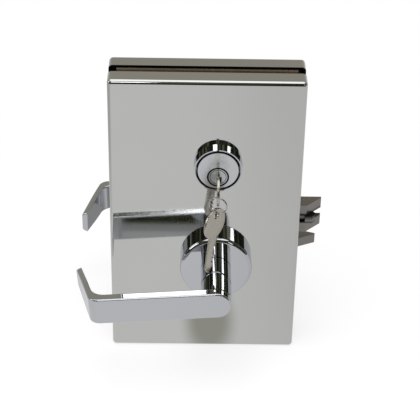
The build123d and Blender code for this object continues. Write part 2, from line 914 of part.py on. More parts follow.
with BuildPart() as rear_hub:
    mirror(plain_hub.part, about=Plane.XZ)

# Split spindle: two square bars joined by a round nub
spindle_end = face_y + spindle_reach
with BuildPart() as front_spindle:
    with BuildSketch(front_plane(hub_inner_gap)):
        with Locations((spindle_x, spindle_z)):
            Rectangle(spindle_size, spindle_size)
    extrude(amount=spindle_end - hub_inner_gap)
    with BuildSketch(front_plane(hub_inner_gap)):
        with Locations((spindle_x, spindle_z)):
            Circle(spindle_nub_radius)
    extrude(amount=-spindle_nub_length)

with BuildPart() as rear_spindle:
    with BuildSketch(front_plane(-hub_inner_gap)):
        with Locations((spindle_x, spindle_z)):
            Rectangle(spindle_size, spindle_size)
    extrude(amount=hub_inner_gap - spindle_end)
    with BuildSketch(front_plane(-hub_inner_gap)):
        with Locations((spindle_x, spindle_z)):
            Circle(spindle_nub_radius + spindle_fit)
    extrude(amount=-spindle_nub_length, mode=Mode.SUBTRACT)

# Rose, its base, spring and bushing
with BuildPart() as front_rose:
    with BuildSketch(Plane.XY.offset(spindle_z)) as rose_section:
        with BuildLine():
            Polyline(
                (spindle_x + rose_radius, -face_y),
                (spindle_x + rose_radius, -face_y - rose_depth),
                (spindle_x + rose_hole_radius, -face_y - rose_depth),
                (spindle_x + rose_hole_radius, -face_y - rose_depth + rose_wall),
                (spindle_x + rose_radius - rose_wall, -face_y - rose_depth + rose_wall),
                (spindle_x + rose_radius - rose_wall, -face_y),
                close=True,
            )
        make_face()
        rim = rose_section.vertices().group_by(Axis.Y)[0].sort_by(Axis.X)[-1]
        fillet(rim, radius=rose_rim_radius)
        inner_rim = rose_section.vertices().filter_by(
            lambda v: abs(v.Y + face_y + rose_depth - rose_wall) < same_place
        ).sort_by(Axis.X)[-1]
        fillet(inner_rim, radius=rose_rim_radius - rose_wall)
    revolve(axis=axis_y(spindle_x, spindle_z))

with BuildPart() as rear_rose:
    mirror(front_rose.part, about=Plane.XZ)

with BuildPart() as front_rose_base:
    with BuildSketch(front_plane(face_y)):
        with Locations((spindle_x, spindle_z)):
            Circle(rose_base_radius)
            Circle(rose_base_hole_radius, mode=Mode.SUBTRACT)
        with Locations(*trim_places):
            Circle(trim_bolt_radius + bolt_clearance, mode=Mode.SUBTRACT)
    extrude(amount=rose_base_thickness)

with BuildPart() as rear_rose_base:
    mirror(front_rose_base.part, about=Plane.XZ)

base_top = face_y + rose_base_thickness
with BuildPart() as trim_bolts:
    with BuildSketch(front_plane(-base_top)):
        with Locations(*trim_places):
            Circle(trim_bolt_radius)
    extrude(amount=2 * base_top)
    with BuildSketch(front_plane(base_top)):
        with Locations(*trim_places):
            Circle(trim_bolt_head_radius)
    extrude(amount=trim_bolt_head_height)

with BuildPart() as front_rose_spring:
    with BuildLine():
        rose_coil = Helix(
            pitch=rose_spring_pitch,
            height=rose_spring_turns * rose_spring_pitch,
            radius=rose_spring_radius,
            center=(spindle_x, -base_top - rose_spring_wire / 2 - slide_clearance, spindle_z),
            direction=(0, -1, 0),
        )
    with BuildSketch(Plane(origin=rose_coil @ 0, z_dir=rose_coil % 0)):
        Circle(rose_spring_wire / 2)
    sweep(path=rose_coil, is_frenet=True)

with BuildPart() as rear_rose_spring:
    mirror(front_rose_spring.part, about=Plane.XZ)

with BuildPart() as front_bushing:
    with BuildSketch(front_plane(face_y + rose_depth + bushing_stand)):
        with Locations((spindle_x, spindle_z)):
            Circle(rose_hole_radius)
            Circle(shank_radius + bushing_clearance, mode=Mode.SUBTRACT)
    extrude(amount=-bushing_depth)

with BuildPart() as rear_bushing:
    mirror(front_bushing.part, about=Plane.XZ)


# Lever: a round neck and a flat grip whose end turns back towards the door
lean = math.radians(return_lean)
return_run = grip_front - return_end
tip_outer_x = grip_corner_x - return_run * math.tan(lean)
tip_inner_x = tip_outer_x + return_tip_thickness * math.cos(lean)
round_radius = grip_half_height
neck_shoulder = rose_depth + bushing_stand + neck_gap
groove_start = neck_groove_place - neck_groove_width / 2
groove_end = neck_groove_place + neck_groove_width / 2
neck_profile = [
    (shank_start, 0),
    (shank_start, shank_radius),
    (neck_shoulder, shank_radius),
    (neck_shoulder, neck_radius),
    (groove_start, neck_radius),
    (groove_start, neck_radius - neck_groove_depth),
    (groove_end, neck_radius - neck_groove_depth),
    (groove_end, neck_radius),
    (grip_back + neck_bevel, neck_radius),
    (grip_back + 2 * neck_bevel, neck_radius - neck_bevel),
    (grip_back + 2 * neck_bevel, 0),
]


def runs_round_grip(edge):
    """True for the long edges of the grip, not for those across its thickness or height."""
    direction = edge.tangent_at(0.5)
    across = max(abs(direction.Y), abs(direction.Z)) > 1 - same_place
    return not (edge.geom_type == GeomType.LINE and across)


with BuildPart() as lever_blank:
    # Plan of the grip, seen from above
    with BuildSketch(Plane.XY.offset(spindle_z - grip_half_height)) as grip_plan:
        with BuildLine():
            Polyline(
                (spindle_x + round_radius, -face_y - grip_back),
                (spindle_x + round_radius, -face_y - grip_front),
                (grip_corner_x, -face_y - grip_front),
                (tip_outer_x, -face_y - return_end),
                (tip_inner_x, -face_y - return_end + return_tip_thickness * math.sin(lean)),
                (return_inner_x, -face_y - grip_back),
                close=True,
            )
        make_face()
        outer_corner = grip_plan.vertices().sort_by_distance((grip_corner_x, -face_y - grip_front))[0]
        fillet(outer_corner, radius=grip_corner_radius)
        inner_corner = grip_plan.vertices().sort_by_distance((return_inner_x, -face_y - grip_back))[0]
        fillet(inner_corner, radius=grip_inner_radius)
    extrude(amount=2 * grip_half_height)
    # Front outline: a round end at the neck, and a taper along the return
    with BuildSketch(front_plane(face_y)) as grip_outline:
        with BuildLine():
            Polyline(
                (return_taper_start_x, spindle_z + grip_half_height),
                (tip_outer_x, spindle_z + return_tip_half_height),
                (tip_outer_x, spindle_z - return_tip_half_height),
                (return_taper_start_x, spindle_z - grip_half_height),
                (spindle_x, spindle_z - grip_half_height),
                (spindle_x, spindle_z + grip_half_height),
                close=True,
            )
        make_face()
        tips = grip_outline.vertices().group_by(Axis.X)[0]
        fillet(tips, radius=return_tip_corner_radius)
        bends = grip_outline.vertices().filter_by(
            lambda v: abs(v.X - return_taper_start_x) < same_place
        )
        fillet(bends, radius=return_taper_radius)
        with Locations((spindle_x, spindle_z)):
            Circle(round_radius)
    extrude(amount=grip_front, mode=Mode.INTERSECT)
    fillet(lever_blank.edges().filter_by(runs_round_grip), radius=grip_edge_radius)
    # Turned neck: a shank in the bushing, a shoulder over the rose and a ring groove
    with BuildSketch(Plane.XY.offset(spindle_z)):
        with BuildLine():
            Polyline(
                *[(spindle_x + radius, -face_y - place) for place, radius in neck_profile],
                close=True,
            )
        make_face()
    revolve(axis=axis_y(spindle_x, spindle_z))

# Square socket for the spindle with the hole of the set screw; it stays level in both levers
with BuildPart() as lever_socket:
    with BuildSketch(front_plane(face_y)):
        with Locations((spindle_x, spindle_z)):
            Rectangle(spindle_size + 2 * spindle_fit, spindle_size + 2 * spindle_fit)
    extrude(amount=spindle_reach + spindle_fit)
    with BuildSketch(Plane.XY.offset(spindle_z - neck_radius)):
        with Locations((spindle_x, -face_y - lever_screw_depth)):
            Circle(lever_screw_radius + bolt_clearance)
    extrude(amount=neck_radius)

with BuildPart() as level_lever:
    add(lever_blank.part)
    add(lever_socket.part, mode=Mode.SUBTRACT)

# The front grip hangs a little below level on its square, as in the photograph
with BuildPart() as front_lever:
    add(lever_blank.part.rotate(axis_y(spindle_x, spindle_z), front_lever_droop))
    add(lever_socket.part, mode=Mode.SUBTRACT)

with BuildPart() as rear_lever:
    mirror(level_lever.part, about=Plane.XZ)

# Set screws that press the levers on their spindles
with BuildPart() as front_lever_screw:
    with BuildSketch(Plane.XY.offset(spindle_z - spindle_size / 2)):
        with Locations((spindle_x, -face_y - lever_screw_depth)):
            Circle(lever_screw_radius)
            RegularPolygon(lever_screw_radius / 2, 6, mode=Mode.SUBTRACT)
    extrude(amount=-lever_screw_length)

with BuildPart() as rear_lever_screw:
    mirror(front_lever_screw.part, about=Plane.XZ)

# Cylinder collar: a cone round the cylinder's head
head_back_y = cylinder_face_y - cylinder_head_depth
with BuildPart() as cylinder_collar:
    with BuildSketch(Plane.XY.offset(cylinder_z)):
        with BuildLine():
            Polyline(
                (spindle_x + collar_base_radius, -face_y),
                (spindle_x + collar_top_radius, -cylinder_face_y),
                (spindle_x + collar_inner_radius + collar_lip_bevel, -cylinder_face_y),
                (spindle_x + collar_inner_radius, -cylinder_face_y + collar_lip_bevel),
                (spindle_x + collar_inner_radius, -head_back_y),
                (spindle_x + cylinder_hole_radius, -head_back_y),
                (spindle_x + cylinder_hole_radius, -face_y),
                close=True,
            )
        make_face()
    revolve(axis=axis_y(spindle_x, cylinder_z))

with BuildPart() as cylinder_body:
    with BuildSketch(front_plane(cylinder_tail_y)):
        with Locations((spindle_x, cylinder_z)):
            Circle(cylinder_radius)
    extrude(amount=cylinder_length - cylinder_head_depth)
    with BuildSketch(front_plane(head_back_y)):
        with Locations((spindle_x, cylinder_z)):
            Circle(cylinder_head_radius)
    extrude(amount=cylinder_head_depth)
    chamfer(cylinder_body.faces().sort_by(Axis.Y)[0].edges(), length=cylinder_head_bevel)
    with BuildSketch(front_plane(cylinder_tail_y)):
        with Locations((spindle_x, plug_z)):
            Circle(plug_radius + plug_clearance)
    extrude(amount=cylinder_length, mode=Mode.SUBTRACT)
    with BuildSketch(front_plane(cylinder_face_y)):
        with Locations((spindle_x, plug_z)):
            Circle(plug_flange_radius + plug_flange_clearance)
    extrude(amount=-plug_flange_depth - plug_flange_clearance, mode=Mode.SUBTRACT)
    head_rims = cylinder_body.faces().sort_by(Axis.Y)[0].edges().sort_by(SortBy.RADIUS)
    chamfer(head_rims[0], length=plug_ring_bevel)

# Plug with its keyway, and the cam on its tail
keyway_depth = cylinder_length - plug_end_wall
with BuildPart() as cylinder_plug:
    with BuildSketch(front_plane(cylinder_tail_y)):
        with Locations((spindle_x, plug_z)):
            Circle(plug_radius)
    extrude(amount=cylinder_length)
    with BuildSketch(front_plane(cylinder_face_y)):
        with Locations((spindle_x, plug_z)):
            Circle(plug_flange_radius)
    extrude(amount=-plug_flange_depth)
    chamfer(cylinder_plug.faces().sort_by(Axis.Y)[0].edges(), length=plug_ring_bevel)
    # Ring groove and ward slot on the plug's face
    with BuildSketch(front_plane(cylinder_face_y)):
        with Locations((spindle_x, plug_z)):
            Circle(plug_groove_radius)
            Circle(plug_groove_radius - plug_groove_width, mode=Mode.SUBTRACT)
    extrude(amount=-plug_groove_depth, mode=Mode.SUBTRACT)
    with BuildSketch(front_plane(cylinder_face_y)):
        with Locations((spindle_x + ward_offset, plug_z - ward_drop)):
            Rectangle(ward_width, ward_height)
    extrude(amount=-ward_depth, mode=Mode.SUBTRACT)
    with BuildSketch(front_plane(cylinder_face_y)):
        with Locations((spindle_x, plug_z)):
            Rectangle(key_thickness + 2 * key_play, key_blade_width + 2 * key_play)
    extrude(amount=-keyway_depth, mode=Mode.SUBTRACT)

with BuildPart() as cylinder_cam:
    with BuildSketch(front_plane(cam_back_y)):
        with Locations((spindle_x, plug_z)):
            Circle(cam_disc_radius)
        with Locations(Location((spindle_x, plug_z), cam_rest_angle)):
            Rectangle(cam_throw, cam_finger_width, align=(Align.MIN, Align.CENTER))
        with Locations((cam_toe_x, cam_toe_z)):
            Circle(cam_toe_radius)
        for side in (-1, 1):
            with Locations((spindle_x + side * cam_screw_offset, plug_z)):
                Circle(cam_screw_radius + bolt_clearance, mode=Mode.SUBTRACT)
    extrude(amount=cam_thickness)

with BuildPart() as cam_screws:
    with BuildSketch(front_plane(cam_back_y)):
        for side in (-1, 1):
            with Locations((spindle_x + side * cam_screw_offset, plug_z)):
                Circle(cam_screw_radius)
    extrude(amount=cam_thickness + cam_gap)

# Set screw from the front plate that keeps the cylinder from turning
with BuildPart() as cylinder_set_screw:
    with BuildSketch(Plane.YZ.offset(spindle_x + cylinder_radius + set_screw_gap)):
        with Locations((set_screw_y, cylinder_z)):
            Circle(set_screw_radius)
    extrude(amount=faceplate_back_x - spindle_x - cylinder_radius - 2 * set_screw_gap)

# Stop slide: a fork round the cam's toe, a step, and a tooth that comes down to the hub
fork_left_x = spindle_x + cam_disc_radius + stop_fork_disc_gap
fork_slot_end_x = spindle_x + cam_throw + cam_toe_radius + stop_fork_end_gap
fork_right_x = fork_slot_end_x + stop_fork_wall
stop_front_y = case_inner - stop_front_gap
tooth_edge = stop_centre_x - stop_tooth_width / 2 - spindle_x
flange_top_z = spindle_z + math.sqrt(hub_flange_radius**2 - tooth_edge**2)
tooth_bottom = flange_top_z + stop_end_gap + stop_travel
with BuildPart() as stop_slide:
    with BuildSketch(front_plane(cam_back_y)):
        with Locations((fork_left_x, cam_toe_z)):
            Rectangle(
                fork_right_x - fork_left_x,
                2 * (stop_fork_half + stop_fork_rise),
                align=(Align.MIN, Align.CENTER),
            )
            Rectangle(
                fork_slot_end_x - fork_left_x,
                2 * stop_fork_half,
                align=(Align.MIN, Align.CENTER),
                mode=Mode.SUBTRACT,
            )
        with Locations((fork_right_x, stop_fork_bottom)):
            Rectangle(
                stop_stem_width,
                stop_stem_length + stop_step_height,
                align=(Align.MAX, Align.MAX),
            )
    extrude(amount=cam_thickness)
    with BuildSketch(front_plane(cam_back_y)):
        with Locations((stop_left_x, stop_step_top)):
            Rectangle(stop_width, stop_step_height, align=(Align.MIN, Align.MAX))
    extrude(amount=stop_front_y - cam_back_y)
    with BuildSketch(front_plane(stop_front_y)):
        with Locations((stop_left_x, stop_step_top)):
            Rectangle(
                stop_width,
                stop_step_top - tooth_bottom - stop_tooth_height,
                align=(Align.MIN, Align.MAX),
            )
        with Locations((stop_centre_x, stop_step_top)):
            Rectangle(
                stop_tooth_width, stop_step_top - tooth_bottom, align=(Align.CENTER, Align.MAX)
            )
    extrude(amount=-stop_plate_thickness)

# Keys: the hole of the bow is the sketch's origin, and the blade points down
bow_centre = key_hole_inset - key_bow_length / 2
blade_start = key_hole_inset - key_bow_length + key_blade_overlap
blade_end = key_hole_inset - key_bow_length - key_blade_length
half_blade = key_blade_width / 2
with BuildSketch() as key_outline:
    with Locations((0, bow_centre)):
        Ellipse(key_bow_width / 2, key_bow_length / 2)
    with BuildLine():
        Polyline(
            (-half_blade, blade_start),
            (-half_blade, blade_end + key_tip_length),
            (0, blade_end),
            (half_blade, blade_end + key_tip_length),
            (half_blade, blade_start),
            close=True,
        )
    make_face()
    for cut in key_cut_positions:
        with Locations((half_blade, key_hole_inset - key_bow_length - cut)):
            Rectangle(2 * key_cut_depth, 2 * key_cut_depth, rotation=45, mode=Mode.SUBTRACT)
    Circle(key_hole_radius, mode=Mode.SUBTRACT)

key_plane = Plane(origin=(spindle_x, -key_hole_y, plug_z), x_dir=(0, 0, 1), z_dir=(1, 0, 0))
with BuildPart() as key:
    with BuildSketch(key_plane):
        add(key_outline.sketch)
    extrude(amount=key_thickness / 2, both=True)

ring_angle = math.radians(ring_turn)
ring_plane = Plane(
    origin=(spindle_x, -key_hole_y, ring_centre_z),
    x_dir=(math.cos(ring_angle), math.sin(ring_angle), 0),
    z_dir=(math.sin(ring_angle), -math.cos(ring_angle), 0),
)
with BuildPart() as key_ring:
    with BuildSketch(Plane(origin=ring_plane.origin, x_dir=ring_plane.x_dir, z_dir=-ring_plane.y_dir)):
        with Locations((ring_radius, 0)):
            Circle(ring_wire_radius)
    revolve(axis=Axis(ring_plane.origin, ring_plane.z_dir))

# The spare key hangs a little to one side of the ring's lowest point and leans with it
spare_turn = math.radians(spare_key_turn)
spare_lean = math.radians(spare_key_lean)
ring_drop = math.sqrt(ring_radius**2 - spare_key_shift**2)
spare_plane = Plane(
    origin=(
        spindle_x - spare_key_shift * math.cos(ring_angle),
        -key_hole_y - spare_key_shift * math.sin(ring_angle),
        ring_centre_z - ring_drop - ring_hang,
    ),
    x_dir=(
        math.cos(spare_lean) * math.cos(spare_turn),
        math.cos(spare_lean) * math.sin(spare_turn),
        -math.sin(spare_lean),
    ),
    z_dir=(math.sin(spare_turn), -math.cos(spare_turn), 0),
)
with BuildPart() as spare_key:
    with BuildSketch(spare_plane):
        add(key_outline.sketch)
    extrude(amount=key_thickness / 2, both=True)

pieces = {
    "front_cover": front_cover,
    "rear_cover": rear_cover,
    "front_clamp_plate": front_clamp_plate,
    "rear_clamp_plate": rear_clamp_plate,
    "front_gasket": front_gasket,
    "rear_gasket": rear_gasket,
    "clamp_bolts": clamp_bolts,
    "clamp_sleeves": clamp_sleeves,
    "mounting_blocks": mounting_blocks,
    "cover_screws": cover_screws,
    "lock_case": lock_case,
    "case_cover": case_cover,
    "case_screws": case_screws,
    "faceplate": faceplate,
    "faceplate_screws": faceplate_screws,
    "armor_screws": armor_screws,
    "latch_bolt": latch_bolt,
    "tongue_pin": tongue_pin,
    "latch_tongue": latch_tongue,
    "latch_tail": latch_tail,
    "latch_spring_rod": latch_spring_rod,
    "latch_spring": latch_spring,
    "guard_bolt": guard_bolt,
    "guard_rod": guard_rod,
    "guard_spring": guard_spring,
    "front_hub": front_hub,
    "rear_hub": rear_hub,
    "front_spindle": front_spindle,
    "rear_spindle": rear_spindle,
    "front_rose": front_rose,
    "rear_rose": rear_rose,
    "front_rose_base": front_rose_base,
    "rear_rose_base": rear_rose_base,
    "front_rose_spring": front_rose_spring,
    "rear_rose_spring": rear_rose_spring,
    "front_bushing": front_bushing,
    "rear_bushing": rear_bushing,
    "trim_bolts": trim_bolts,
    "front_lever": front_lever,
    "rear_lever": rear_lever,
    "front_lever_screw": front_lever_screw,
    "rear_lever_screw": rear_lever_screw,
    "cylinder_collar": cylinder_collar,
    "cylinder_body": cylinder_body,
    "cylinder_plug": cylinder_plug,
    "cylinder_cam": cylinder_cam,
    "cam_screws": cam_screws,
    "cylinder_set_screw": cylinder_set_screw,
    "stop_slide": stop_slide,
    "key": key,
    "key_ring": key_ring,
    "spare_key": spare_key,
}
os.makedirs("parts", exist_ok=True)
for name, piece in pieces.items():
    piece.part.label = name
    export_step(piece.part, f"parts/{name}.step")
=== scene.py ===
import json
import math

import bmesh
import bpy
from mathutils import Euler, Matrix, Vector


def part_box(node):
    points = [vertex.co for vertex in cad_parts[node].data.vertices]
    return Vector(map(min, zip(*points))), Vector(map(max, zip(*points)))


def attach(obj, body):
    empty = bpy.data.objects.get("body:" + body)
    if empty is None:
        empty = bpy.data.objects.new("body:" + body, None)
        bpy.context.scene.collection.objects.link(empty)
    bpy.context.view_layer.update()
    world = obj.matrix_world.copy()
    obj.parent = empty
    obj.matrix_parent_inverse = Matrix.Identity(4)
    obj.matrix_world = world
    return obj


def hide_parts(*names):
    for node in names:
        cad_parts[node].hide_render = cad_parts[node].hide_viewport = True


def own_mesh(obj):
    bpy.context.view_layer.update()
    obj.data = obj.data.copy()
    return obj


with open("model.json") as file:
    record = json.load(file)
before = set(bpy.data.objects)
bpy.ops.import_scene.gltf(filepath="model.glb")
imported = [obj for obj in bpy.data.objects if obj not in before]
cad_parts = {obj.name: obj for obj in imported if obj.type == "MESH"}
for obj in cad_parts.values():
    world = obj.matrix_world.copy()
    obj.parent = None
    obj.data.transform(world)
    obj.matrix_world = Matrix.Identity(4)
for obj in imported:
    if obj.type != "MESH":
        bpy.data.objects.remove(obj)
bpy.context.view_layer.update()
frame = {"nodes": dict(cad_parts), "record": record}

bl_info = {
    "name": "Glass door center lock",
    "version": (1, 0, 0),
    "blender": (4, 5, 0),
    "location": "View3D > Sidebar > Center lock",
    "description": "Finishes and small pieces for a center lock that clamps on a glass door",
    "category": "Object",
}

NODES = frame["nodes"]
SLOT_OF = {row["node"]: row["material_slot"] for row in frame["record"]["subparts"]}


# Places from the frame, in metres

def middle(node):
    """The middle of a CAD node's box."""
    low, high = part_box(node)
    return (low + high) / 2


COVER = middle("front_cover")
CYLINDER = middle("cylinder_collar")
PLUG_Z = middle("cylinder_plug").z
LATCH_Z = middle("latch_bolt").z
KEY_RING = middle("key_ring")
COVER_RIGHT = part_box("front_cover")[1].x
SLOT_HALF = -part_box("front_cover")[1].y
GASKET_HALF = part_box("front_gasket")[1].z - COVER.z


# Sizes and colours

class LockSizes(bpy.types.PropertyGroup):
    """Sizes of the pieces that are made here, and of the camera and stage."""

    key_bow_width: bpy.props.FloatProperty(
        name="Key bow width", description="Width of the round grip of a key",
        default=0.024, min=0.01, unit="LENGTH")
    key_bow_length: bpy.props.FloatProperty(
        name="Key bow length", description="Length of the round grip of a key",
        default=0.026, min=0.01, unit="LENGTH")
    key_thickness: bpy.props.FloatProperty(
        name="Key thickness", description="Thickness of the key blank",
        default=0.002, min=0.001, unit="LENGTH")
    key_hole: bpy.props.FloatProperty(
        name="Key hole radius", description="Radius of the hole for the ring",
        default=0.003, min=0.001, unit="LENGTH")
    spring_wire: bpy.props.FloatProperty(
        name="Spring wire", description="Thickness of the wire of both bolt springs",
        default=0.0009, min=0.0003, unit="LENGTH")
    camera_lens: bpy.props.FloatProperty(
        name="Camera lens", description="Focal length in millimetres on a 36 mm sensor",
        default=122.21, min=20)
    camera_tilt: bpy.props.FloatProperty(
        name="Camera tilt", description="How far the camera looks down",
        default=math.radians(33.446), subtype="ANGLE")
    camera_turn: bpy.props.FloatProperty(
        name="Camera turn", description="How far the camera turns to the right",
        default=math.radians(0.963), subtype="ANGLE")
    camera_roll: bpy.props.FloatProperty(
        name="Camera roll", description="How far the picture is turned",
        default=math.radians(1.235), subtype="ANGLE")
    camera_place: bpy.props.FloatVectorProperty(
        name="Camera place", description="Where the camera stands",
        default=(-0.01205, -0.97070, 0.76609), subtype="TRANSLATION")
    floor_size: bpy.props.FloatProperty(
        name="Floor size", description="Width of the floor",
        default=8.0, min=2.0, unit="LENGTH")


class LockColours(bpy.types.PropertyGroup):
    """Colours of the finishes, as linear red, green and blue."""

    polished_steel: bpy.props.FloatVectorProperty(
        name="Polished steel", description="Mirror-polished housing",
        default=(0.615, 0.615, 0.605), subtype="COLOR")
    chrome: bpy.props.FloatVectorProperty(
        name="Chrome", description="Bright chrome of the levers, roses and cylinder",
        default=(0.57, 0.585, 0.615), subtype="COLOR")
    satin_chrome: bpy.props.FloatVectorProperty(
        name="Satin chrome", description="Satin chrome of the cylinder's face and plug",
        default=(0.67, 0.685, 0.71), subtype="COLOR")
    satin_bolt: bpy.props.FloatVectorProperty(
        name="Satin bolt", description="Satin steel of the bolts",
        default=(0.27, 0.255, 0.24), subtype="COLOR")
    satin_plate: bpy.props.FloatVectorProperty(
        name="Satin plate", description="Satin steel of the faceplate",
        default=(0.50, 0.50, 0.49), subtype="COLOR")
    zinc: bpy.props.FloatVectorProperty(
        name="Zinc", description="Zinc plate of the inner pieces",
        default=(0.42, 0.43, 0.44), subtype="COLOR")
    dark_steel: bpy.props.FloatVectorProperty(
        name="Dark steel", description="Oiled steel of bolts, screws and spindles",
        default=(0.10, 0.10, 0.105), subtype="COLOR")
    spring_wire: bpy.props.FloatVectorProperty(
        name="Spring wire", description="Bright wire of springs and the key ring",
        default=(0.55, 0.55, 0.56), subtype="COLOR")
    brown_fibre: bpy.props.FloatVectorProperty(
        name="Brown fibre", description="Gaskets that touch the glass",
        default=(0.085, 0.055, 0.026), subtype="COLOR")
    acetal: bpy.props.FloatVectorProperty(
        name="Acetal", description="Black bushings of the levers",
        default=(0.012, 0.012, 0.013), subtype="COLOR")
    nickel_key: bpy.props.FloatVectorProperty(
        name="Nickel silver", description="Keys",
        default=(0.52, 0.49, 0.43), subtype="COLOR")
    floor: bpy.props.FloatVectorProperty(
        name="Floor", description="Pale floor", default=(0.92, 0.92, 0.92), subtype="COLOR")


# Node trees

BLACK = (0, 0, 0, 1)
WHITE = (1, 1, 1, 1)
# Colour of painted shade, dark and dull, for gaps, slots and corners
PAINTED_SHADE = (0.014, 0.014, 0.015, 1)


class Graph:
    """A node tree, with short calls for the nodes that the finishes and the stage share."""

    def __init__(self, owner, output):
        owner.use_nodes = True
        self.tree = owner.node_tree
        self.tree.nodes.clear()
        self.output = self.add(output)

    def add(self, kind, **values):
        node = self.tree.nodes.new(kind)
        for key, value in values.items():
            setattr(node, key, value)
        return node

    def put(self, value, socket):
        """Links an output to the socket, or sets the socket to a number or colour."""
        if isinstance(value, bpy.types.NodeSocket):
            self.tree.links.new(value, socket)
        else:
            socket.default_value = value

    def between(self, source, low, high, start=0.3, end=0.7, smooth=False):
        """A number from low to high as the source goes from start to end."""
        node = self.add("ShaderNodeMapRange")
        if smooth:
            node.interpolation_type = "SMOOTHSTEP"
        node.inputs["From Min"].default_value = start
        node.inputs["From Max"].default_value = end
        node.inputs["To Min"].default_value = low
        node.inputs["To Max"].default_value = high
        self.put(source, node.inputs["Value"])
        return node.outputs["Result"]

    def window(self, source, rise, fall):
        """Zero outside the rise and the fall, which are pairs of places, and one between them."""
        return self.product(
            self.between(source, 0.0, 1.0, *rise), self.between(source, 1.0, 0.0, *fall))

    def colours(self, source, stops):
        ramp = self.add("ShaderNodeValToRGB")
        elements = ramp.color_ramp.elements
        while len(elements) < len(stops):
            elements.new(0.5)
        for element, (position, colour) in zip(elements, stops):
            element.position = position
            element.color = (*colour, 1)
        self.put(source, ramp.inputs["Fac"])
        return ramp.outputs["Color"]

    def math(self, operation, first, second, clamp=True):
        node = self.add("ShaderNodeMath", operation=operation, use_clamp=clamp)
        self.put(first, node.inputs[0])
        self.put(second, node.inputs[1])
        return node.outputs[0]

    def product(self, first, *others):
        for other in others:
            first = self.math("MULTIPLY", first, other)
        return first

    def unsigned(self, value):
        return self.math("ABSOLUTE", value, 0.0)

    def length(self, vector):
        node = self.add("ShaderNodeVectorMath", operation="LENGTH")
        self.put(vector, node.inputs[0])
        return node.outputs["Value"]

    def axes(self, place):
        """The outputs X, Y and Z of a place."""
        node = self.add("ShaderNodeSeparateXYZ")
        self.put(place, node.inputs[0])
        return node.outputs

    def noise(self, place, scale, detail):
        node = self.add("ShaderNodeTexNoise")
        node.inputs["Scale"].default_value = scale
        node.inputs["Detail"].default_value = detail
        self.put(place, node.inputs["Vector"])
        return node.outputs["Fac"]

    def mixed_colour(self, share, first, second):
        node = self.add("ShaderNodeMix", data_type="RGBA")
        self.put(share, node.inputs["Factor"])
        self.put(first, node.inputs[6])
        self.put(second, node.inputs[7])
        return node.outputs[2]

    def mixed_number(self, share, first, second):
        node = self.add("ShaderNodeMix", data_type="FLOAT")
        self.put(share, node.inputs[0])
        self.put(first, node.inputs[2])
        self.put(second, node.inputs[3])
        return node.outputs[0]

    def mixed_shader(self, share, first, second):
        node = self.add("ShaderNodeMixShader")
        self.put(share, node.inputs["Fac"])
        self.put(first, node.inputs[1])
        self.put(second, node.inputs[2])
        return node.outputs[0]

    def spot(self, place, centre, size):
        """How far the place is from a centre, as a share of the size along each axis."""
        mapping = self.add("ShaderNodeMapping", vector_type="TEXTURE")
        mapping.inputs["Location"].default_value = centre
        mapping.inputs["Scale"].default_value = size
        self.put(place, mapping.inputs["Vector"])
        return self.length(mapping.outputs["Vector"])

    def seen_directly(self):
        """One for what the camera, metal or glass sees, and zero for what lights a surface."""
        path = self.add("ShaderNodeLightPath").outputs
        direct = self.math("ADD", path["Is Camera Ray"], path["Is Glossy Ray"])
        return self.math("ADD", direct, path["Is Transmission Ray"])


class Finish(Graph):
    """One material's node tree, whose nodes read the object's own coordinates."""

    def __init__(self, name):
        self.material = bpy.data.materials.new(name)
        super().__init__(self.material, "ShaderNodeOutputMaterial")
        self.shader = self.add("ShaderNodeBsdfPrincipled")
        self.put(self.shader.outputs["BSDF"], self.output.inputs["Surface"])
        self.place = self.add("ShaderNodeTexCoord").outputs["Object"]

    def grain(self, scale, detail=4.0, stretch=(1, 1, 1)):
        """Noise on the object, stretched by a different amount along each axis."""
        mapping = self.add("ShaderNodeMapping")
        mapping.inputs["Scale"].default_value = stretch
        self.put(self.place, mapping.inputs["Vector"])
        return self.noise(mapping.outputs["Vector"], scale, detail)

    def along(self, axis, origin=0.0):
        """How far along an axis the place is from an origin."""
        part = self.axes(self.place)[axis]
        return self.math("SUBTRACT", part, origin, clamp=False) if origin else part

    def radius(self, x, z):
        """How far the place is from a line along Y."""
        offset = self.add("ShaderNodeVectorMath", operation="SUBTRACT")
        self.put(self.place, offset.inputs[0])
        offset.inputs[1].default_value = (x, 0, z)
        flat = self.add("ShaderNodeVectorMath", operation="MULTIPLY")
        self.put(offset.outputs["Vector"], flat.inputs[0])
        flat.inputs[1].default_value = (1, 0, 1)
        return self.length(flat.outputs["Vector"])

    def coat(self, colour, roughness):
        """Sets the colour and roughness of the surface."""
        self.colour = colour
        self.roughness = roughness
        self.put(colour, self.shader.inputs["Base Color"])
        self.put(roughness, self.shader.inputs["Roughness"])

    def paint_shade(self, share, roughness=0.5):
        """Paints dark, dull shade over a share of the surface."""
        self.coat(
            self.mixed_colour(share, self.colour, PAINTED_SHADE),
            self.mixed_number(share, self.roughness, roughness))

    def bump(self, source, strength, distance=0.00002):
        node = self.add("ShaderNodeBump")
        node.inputs["Strength"].default_value = strength
        node.inputs["Distance"].default_value = distance
        self.put(source, node.inputs["Height"])
        self.put(node.outputs["Normal"], self.shader.inputs["Normal"])


# Finishes

# Height, radius and half width of the cylinder's rings of painted shade: in the gap at the rim of
# its head, in the gap at the rim of its plug and in the groove in the plug
CYLINDER_RINGS = (
    (CYLINDER.z, 0.01690, 0.00112),
    (PLUG_Z, 0.00800, 0.00080),
    (PLUG_Z, 0.00633, 0.00030),
)

# Share of a ring's half width that is fully dark
RING_CORE = 0.7

# Where the painted shade of the ward slot beside the keyway begins and ends, from the plug's
# middle
WARD_X = ((0.00155, 0.00170), (0.00275, 0.00290))
WARD_Z = ((-0.0052, -0.0049), (-0.0001, 0.0003))

# Heights from the latch's middle at which the painted shade at the slot's edges begins and is
# darkest
SLOT_EDGE_SHADE = ((0.0066, 0.0028), (-0.0050, -0.0030))
SLOT_EDGE_SHADE_SHARE = 0.85
